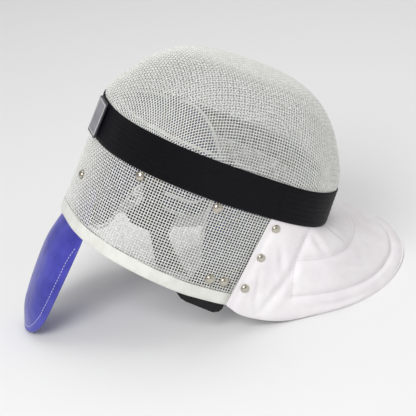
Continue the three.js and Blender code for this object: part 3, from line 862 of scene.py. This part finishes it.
# The hem's distance in front of the tongue's tip, its place across, and its height off the surface.
hemRows = [
    (191, -108.5, 36), (203, -108, 23), (222, -107, 12), (249, -108, 3), (277, -109, 0), (312, -109.5, 0),
    (343, -102, 0), (370, -88, 0), (397, -63, 0), (419, -31, 0), (431, 5, 0), (434, 46, 0), (426, 84, 0),
    (406, 104, 0), (375, 109.5, 3), (337, 109.5, 10), (291, 109, 18), (240, 109, 26), (191, 108.5, 36),
]
tongueTip = {"x": -125, "level": -272, "underside": 1}
# Seams by their share of the fall, and where they start and stop round the bib.
bibSeams = [
    {"fall": (0.34, 0.32, 0.33, 0.36, 0.42, 0.36, 0.33, 0.32, 0.34), "from": 0.11, "to": 0.89},
    {"fall": (0.72, 0.73, 0.79, 0.83, 0.80, 0.83, 0.79, 0.73, 0.72), "from": 0.11, "to": 0.89},
]
bibUprights = [
    {"fall": (0.0, 0.2, 0.35, 0.55, 0.75, 1.0), "around": (0.155, 0.124, 0.109, 0.108, 0.114, 0.118)},
    {"fall": (0.0, 0.2, 0.35, 0.55, 0.75, 1.0), "around": (0.845, 0.876, 0.891, 0.892, 0.886, 0.882)},
]
bibCreases = [
    {"start": (0.112, 0.34), "end": (0.064, 0.92), "depth": 2.4, "width": 9},
    {"start": (0.06, 0.22), "end": (0.088, 0.52), "depth": 1.4, "width": 7},
    {"start": (0.03, 0.5), "end": (0.055, 0.95), "depth": 1.2, "width": 6},
    {"start": (0.16, 0.05), "end": (0.19, 0.3), "depth": 1.3, "width": 8},
    {"start": (0.26, 0.02), "end": (0.3, 0.3), "depth": 1.2, "width": 9},
    {"start": (0.2, 0.4), "end": (0.3, 0.62), "depth": 1.0, "width": 8},
    {"start": (0.36, 0.45), "end": (0.42, 0.7), "depth": 1.2, "width": 9},
    {"start": (0.15, 0.85), "end": (0.27, 0.93), "depth": 1.0, "width": 8},
    {"start": (0.888, 0.34), "end": (0.936, 0.92), "depth": 2.2, "width": 9},
    {"start": (0.94, 0.22), "end": (0.91, 0.52), "depth": 1.4, "width": 7},
]
bibPuff = {"height": 3.2, "seamWidth": 4.6, "uprightEnd": 0.74, "wave": 2.2, "ripple": 0.7}


def ease(value, low, high):
    share = np.clip((value - low) / (high - low), 0, 1)
    return share * share * (3 - 2 * share)


def hemCurve(count):  # a centripetal curve through the hem's points, stepped evenly along its length
    knots = np.array(hemRows, float)
    knots = np.vstack([2 * knots[0] - knots[1], knots, 2 * knots[-1] - knots[-2]])
    fine = []
    share = np.linspace(0, 1, 40, endpoint=False)[:, None]
    for k in range(1, len(knots) - 2):
        a, b, c, d = knots[k - 1:k + 3]
        before, here, after = (math.sqrt(np.linalg.norm(v)) for v in (b - a, c - b, d - c))
        leave = ((b - a) / before - (c - a) / (before + here) + (c - b) / here) * here
        arrive = ((c - b) / here - (d - b) / (here + after) + (d - c) / after) * here
        fine.append((2 * share**3 - 3 * share**2 + 1) * b + (share**3 - 2 * share**2 + share) * leave
                    + (-2 * share**3 + 3 * share**2) * c + (share**3 - share**2) * arrive)
    fine = np.vstack(fine + [knots[-2][None]])
    length = np.concatenate([[0], np.cumsum(np.linalg.norm(np.diff(fine, axis=0), axis=1))])
    at = np.linspace(0, length[-1], count)
    return np.stack([np.interp(at, length, fine[:, k]) for k in range(3)], -1)


def fromSurface(ahead, across, up):
    height = up - tongueTip["underside"]
    return np.stack([
        tongueTip["x"] + ahead * math.cos(pitch) - height * math.sin(pitch), across,
        tongueTip["level"] + ahead * math.sin(pitch) + height * math.cos(pitch),
    ], -1)


def bibInnerFace():
    around = np.linspace(0, 1, bib["columns"] + 1)
    along = -bib["edgeAlong"] + (2 * bib["edgeAlong"] - 2 * halfGirth) * around
    edge = np.minimum(around, 1 - around)
    slack = ease(edge, 0.02, 0.2)
    tucked = wallAt(along, bib["topLevel"], bib["gap"])
    leaving = wallAt(along, bib["leavesWall"], bib["gap"])
    out = wallAt(along, bib["leavesWall"], bib["gap"] + 1) - leaving
    hem = hemCurve(len(around))
    middle = np.array([300, 0, 0])
    heel = hem - middle
    heel *= (1 - bib["foot"] * ease(edge, 0.08, 0.2) / np.linalg.norm(heel, axis=1))[:, None]
    up = np.maximum(hem[:, 2], 0)
    foot = fromSurface(hem[:, 0], hem[:, 1], up)
    landing = fromSurface(heel[:, 0] + middle[0], heel[:, 1], up)
    rows = [tucked + (leaving - tucked) * s for s in np.linspace(0, 1, 6)[:-1]]
    falls = [-0.1 + 0.02 * k for k in range(5)]
    for share in np.linspace(0, 1, bib["fallRows"]):
        rows.append(leaving + (landing - leaving) * share
                    + out * (bib["bulge"] * slack * math.sin(math.pi * share))[:, None])
        falls.append(share)
    for share in np.linspace(0, 1, 4)[1:]:
        rows.append(landing + (foot - landing) * share)
        falls.append(1 + 0.03 * share)
    return around, np.array(falls), np.array(rows)


def softTable(at, knots, values):  # a table read along a smooth line instead of a broken one
    fine = np.linspace(knots[0], knots[-1], 241)
    line = np.pad(np.interp(fine, knots, values), 30, mode="reflect", reflect_type="odd")
    window = np.hanning(61)
    return np.interp(at, fine, np.convolve(line, window / window.sum(), "valid"))


def arcFall(seam, around):
    return softTable(around, np.linspace(seam["from"], seam["to"], len(seam["fall"])), seam["fall"])


def uprightAround(seam, fall):
    return softTable(fall, seam["fall"], seam["around"])


def seamDistance(around, fall, spanAround, spanFall):  # millimetres to the nearest seam
    nearest = np.full(around.shape, 99.0)
    for seam in bibSeams:
        gap = np.abs(fall - arcFall(seam, around)) * spanFall
        gap = gap + 99 * ((around < seam["from"]) | (around > seam["to"]))
        nearest = np.minimum(nearest, gap)
    for seam in bibUprights:
        gap = np.abs(around - uprightAround(seam, fall)) * spanAround
        nearest = np.minimum(nearest, gap + 90 * np.clip(fall - bibPuff["uprightEnd"], 0, 1))
    nearest = np.minimum(nearest, np.minimum(around, 1 - around) * spanAround - 3.2 + 6.4 * (fall < 0))
    return np.abs(nearest)


def makeBib():
    around, falls, inner = bibInnerFace()
    down = np.gradient(inner, axis=0)
    across = np.gradient(inner, axis=1)
    normal = np.cross(across, down)
    normal /= np.maximum(np.linalg.norm(normal, axis=2), 1e-6)[..., None]
    away = inner - np.array([basket["widestAt"], 0, -60])
    if (normal * away).sum() < 0:
        normal = -normal
    a, f = np.meshgrid(around, falls)
    spanAround = np.linalg.norm(across, axis=2).sum(axis=1)[:, None] * np.ones_like(a)
    spanFall = np.linalg.norm(down, axis=2).sum(axis=0)[None, :] * np.ones_like(a)
    thick = np.where(f < 0, bib["tuckedSheet"], bib["sheet"])
    gap = seamDistance(a, f, spanAround, spanFall)
    quilt = 1 - np.exp(-(gap / bibPuff["seamWidth"]) ** 2)
    loose = ease(f, 0.0, 0.12) * ease(1.02 - f, 0.0, 0.08) * ease(np.minimum(a, 1 - a), 0.0, 0.02)
    puff = bibPuff["height"] * (quilt - 0.55) * loose
    for crease in bibCreases:
        (a0, f0), (a1, f1) = crease["start"], crease["end"]
        dx, dy = (a1 - a0) * spanAround, (f1 - f0) * spanFall
        px, py = (a - a0) * spanAround, (f - f0) * spanFall
        share = np.clip((px * dx + py * dy) / (dx * dx + dy * dy), 0, 1)
        off = np.hypot(px - share * dx, py - share * dy)
        fade = np.sin(np.pi * np.clip(share, 0.04, 0.96)) ** 0.5
        depth, width = crease["depth"] * fade, crease["width"]
        puff -= depth * np.exp(-(off / (0.45 * width)) ** 2) * loose
        puff += 0.5 * depth * np.exp(-((off - 0.9 * width) / (0.5 * width)) ** 2) * loose
    drape = np.array([[noise.noise(Vector((u * 9, v * 2.6, 0.4))) * bibPuff["wave"]
                       + noise.noise(Vector((u * 26, v * 7, 2.4))) * bibPuff["ripple"]
                       for u in around] for v in falls])
    puff += drape * loose
    outer = inner + normal * (thick + puff)[..., None]
    lining = inner + normal * (np.minimum(puff, 0) * 0.6 * (f < 0.9))[..., None]
    rows, columns = a.shape
    points = np.concatenate([toPart(outer).reshape(-1, 3), toPart(lining).reshape(-1, 3)])
    points[:, 2] = np.maximum(points[:, 2], 0)
    uv = np.stack([a * bib["clothLength"] * mm, f * bib["clothDepth"] * mm], -1).reshape(-1, 2)
    uv = np.concatenate([uv, uv])
    faces = gridFaces(rows, columns)
    half = rows * columns
    shell = faces + [tuple(half + k for k in face[::-1]) for face in faces]
    border = list(range(columns))
    border += [r * columns + columns - 1 for r in range(1, rows)]
    border += [(rows - 1) * columns + k for k in range(columns - 2, -1, -1)]
    border += [r * columns for r in range(rows - 2, 0, -1)]
    following = border[1:] + border[:1]
    shell += [(here, half + here, half + there, there) for here, there in zip(border, following)]
    piece = pointOutwards(newPiece("bib_quilt", points, shell, finish["bib"], uv))
    edge = piece.modifiers.new("edge", "BEVEL")
    edge.width, edge.segments, edge.limit_method, edge.angle_limit = 0.7 * mm, 2, "ANGLE", math.radians(55)
    applyModifiers(piece)
    settle(piece, "bib_cloth", "bib")
    return around, falls, toPart(outer), normal @ turn.T


bibFace = makeBib()
print("bib made")


stitch = {"length": 2.6, "gap": 0.9, "thickness": 0.55}


def stitchTree():  # a thread that shows as short lengths laid end to end along a path
    tree, size = newTree("stitches", {
        "Stitch Length": ("NodeSocketFloat", stitch["length"] * mm),
        "Stitch Gap": ("NodeSocketFloat", stitch["gap"] * mm),
        "Thread Thickness": ("NodeSocketFloat", stitch["thickness"] * mm),
        "Material": ("NodeSocketMaterial", None),
    })
    path = addNode(tree, "GeometryNodeMeshToCurve", inputs={"Mesh": size["Geometry"]})
    step = addNode(tree, "ShaderNodeMath", {"operation": "ADD"},
                   {0: size["Stitch Length"], 1: size["Stitch Gap"]})
    spots = addNode(tree, "GeometryNodeResampleCurve", {"mode": "LENGTH"},
                    {"Curve": path.outputs[0], "Length": step.outputs[0]})
    tangent = addNode(tree, "GeometryNodeInputTangent")
    aim = addNode(tree, "FunctionNodeAlignRotationToVector", {"axis": "Z"}, {"Vector": tangent.outputs[0]})
    bead = addNode(tree, "GeometryNodeMeshUVSphere", inputs={"Segments": 6, "Rings": 5, "Radius": 0.5})
    form = addNode(tree, "ShaderNodeCombineXYZ", inputs={
        "X": size["Thread Thickness"], "Y": size["Thread Thickness"], "Z": size["Stitch Length"]})
    laid = addNode(tree, "GeometryNodeInstanceOnPoints", inputs={
        "Points": spots.outputs[0], "Instance": bead.outputs["Mesh"],
        "Rotation": aim.outputs[0], "Scale": form.outputs[0]})
    smooth = addNode(tree, "GeometryNodeSetShadeSmooth", inputs={"Geometry": laid.outputs[0]})
    finishTree(tree, smooth.outputs[0], size["Material"])
    return tree


stitchLine = stitchTree()


def sew(name, runs, threadMaterial, slotName):  # runs: lists of points in the part's metres
    points, edges = [], []
    for run in runs:
        first = len(points)
        points += [tuple(p) for p in run]
        edges += [(k, k + 1) for k in range(first, len(points) - 1)]
    piece = newPiece(name, points, [], threadMaterial, edges=edges)
    settle(growTree(piece, stitchLine, {"Material": threadMaterial}), slotName)


def onBibFace(around, fall, lift):  # places on the bib's outer face, by the shares round it and down it
    arounds, falls, outer, normal = bibFace
    column = np.interp(around, arounds, np.arange(len(arounds)))
    row = np.interp(fall, falls, np.arange(len(falls)))
    c, r = np.minimum(column.astype(int), len(arounds) - 2), np.minimum(row.astype(int), len(falls) - 2)
    s, t = (column - c)[:, None], (row - r)[:, None]
    blend = lambda grid: (grid[r, c] * (1 - s) + grid[r, c + 1] * s) * (1 - t) + (
        grid[r + 1, c] * (1 - s) + grid[r + 1, c + 1] * s) * t
    return blend(outer) + blend(normal) * lift * mm


def sewBib():
    runs = []
    for seam in bibSeams:
        around = np.linspace(seam["from"], seam["to"], 260)
        runs.append(onBibFace(around, arcFall(seam, around), 0.05))
    for seam in bibUprights:
        fall = np.linspace(0.02, bibPuff["uprightEnd"], 60)
        runs.append(onBibFace(uprightAround(seam, fall), fall, 0.05))
    sew("bib_stitches", runs, finish["bibThreadSeamShade"], "bib_cloth")


tongueStitch = {"inset": 5.5, "from": -156}
tongueRows = [
    {"level": -150, "half": 45}, {"level": -190, "half": 43.5}, {"level": -220, "half": 40},
    {"level": -244, "half": 35}, {"level": -257, "half": 28}, {"level": -266, "half": 19},
    {"level": -270, "half": 12}, {"level": -272, "half": 4},
]


def sewTongue():
    graph = bpy.context.evaluated_depsgraph_get()
    skin = BVHTree.FromObject(bpy.data.objects["tongue_pad"], graph)
    edge = [(-row["half"], row["level"]) for row in tongueRows]
    edge += [(row["half"], row["level"]) for row in reversed(tongueRows)]
    edge = np.array(edge, float)
    fine = np.array([edge[int(k)] + (edge[min(int(k) + 1, len(edge) - 1)] - edge[int(k)]) * (k % 1)
                     for k in np.linspace(0, len(edge) - 1.001, 300)])
    for _ in range(12):
        fine[1:-1] = (fine[:-2] + 2 * fine[1:-1] + fine[2:]) / 4
    run = np.gradient(fine, axis=0)
    inward = np.stack([-run[:, 1], run[:, 0]], -1)
    inward /= np.linalg.norm(inward, axis=1)[:, None]
    if (inward[0] * (-fine[0] + (0, -210))).sum() < 0:
        inward = -inward
    line = fine + inward * tongueStitch["inset"]
    direction = Vector(turn @ (1, 0, 0))
    points = []
    for y, level in line:
        hit = skin.ray_cast(Vector(toPart((-170, y, level))), direction)
        if hit[0] and level < tongueStitch["from"]:
            points.append(hit[0] - direction * 0.1 * mm)
    sew("tongue_stitches", [points], finish["whiteThread"], "blue_vinyl")


rivet = {"radius": 5.0, "height": 2.6, "flange": 0.6}


def rivetTree():  # a domed head on a thin flange, set on every point and turned to face out
    tree, size = newTree("domed_rivets", {
        "Head Radius": ("NodeSocketFloat", rivet["radius"] * mm),
        "Head Height": ("NodeSocketFloat", rivet["height"] * mm),
        "Flange": ("NodeSocketFloat", rivet["flange"] * mm),
        "Material": ("NodeSocketMaterial", None),
    })
    ball = addNode(tree, "GeometryNodeMeshUVSphere", inputs={"Segments": 28, "Rings": 16, "Radius": 1.0})
    place = addNode(tree, "GeometryNodeInputPosition")
    parts = addNode(tree, "ShaderNodeSeparateXYZ", inputs={"Vector": place.outputs[0]})
    above = addNode(tree, "ShaderNodeMath", {"operation": "MAXIMUM"}, {0: parts.outputs["Z"], 1: 0.0})
    flat = addNode(tree, "ShaderNodeCombineXYZ", inputs={
        "X": parts.outputs["X"], "Y": parts.outputs["Y"], "Z": above.outputs[0]})
    cap = addNode(tree, "GeometryNodeSetPosition",
                  inputs={"Geometry": ball.outputs["Mesh"], "Position": flat.outputs[0]})
    inner = addNode(tree, "ShaderNodeMath", {"operation": "MULTIPLY"}, {0: size["Head Radius"], 1: 0.9})
    capSize = addNode(tree, "ShaderNodeCombineXYZ", inputs={
        "X": inner.outputs[0], "Y": inner.outputs[0], "Z": size["Head Height"]})
    lift = addNode(tree, "ShaderNodeCombineXYZ", inputs={"Z": size["Flange"]})
    head = addNode(tree, "GeometryNodeTransform", inputs={
        "Geometry": cap.outputs[0], "Scale": capSize.outputs[0], "Translation": lift.outputs[0]})
    disc = addNode(tree, "GeometryNodeMeshCylinder", inputs={
        "Vertices": 28, "Radius": size["Head Radius"], "Depth": size["Flange"]})
    half = addNode(tree, "ShaderNodeMath", {"operation": "DIVIDE"}, {0: size["Flange"], 1: 2})
    up = addNode(tree, "ShaderNodeCombineXYZ", inputs={"Z": half.outputs[0]})
    flange = addNode(tree, "GeometryNodeTransform", inputs={
        "Geometry": disc.outputs["Mesh"], "Translation": up.outputs[0]})
    both = addNode(tree, "GeometryNodeJoinGeometry")
    tree.links.new(head.outputs[0], both.inputs[0])
    tree.links.new(flange.outputs[0], both.inputs[0])
    outward = addNode(tree, "GeometryNodeInputNamedAttribute", {"data_type": "FLOAT_VECTOR"},
                      {"Name": "outward"})
    aim = addNode(tree, "FunctionNodeAlignRotationToVector", {"axis": "Z"}, {"Vector": outward.outputs[0]})
    spots = addNode(tree, "GeometryNodeMeshToPoints", inputs={"Mesh": size["Geometry"]})
    placed = addNode(tree, "GeometryNodeInstanceOnPoints", inputs={
        "Points": spots.outputs[0], "Instance": both.outputs[0], "Rotation": aim.outputs[0]})
    finishTree(tree, placed.outputs[0], size["Material"])
    return tree


def setRivets():
    names = sorted(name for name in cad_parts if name.startswith("rivet_"))
    spots, outward = [], []
    for name in names:
        points = nodePoints(name) * mm
        middle = points.mean(axis=0)
        _, _, axes = np.linalg.svd(points - middle)
        away = axes[2]
        hub = toPart((-10, 0, -80))
        if away @ (middle - hub) < 0:
            away = -away
        heights = (points - middle) @ away
        spots.append(middle + away * heights.min())
        outward.append(away)
    piece = newPiece("rivets", spots, [], finish["nickel"])
    addAttribute(piece, "outward", "FLOAT_VECTOR", outward)
    settle(growTree(piece, rivetTree(), {"Material": finish["nickel"]}), "nickel", *names)


sewBib()
sewTongue()
setRivets()
print("stitches and rivets made")
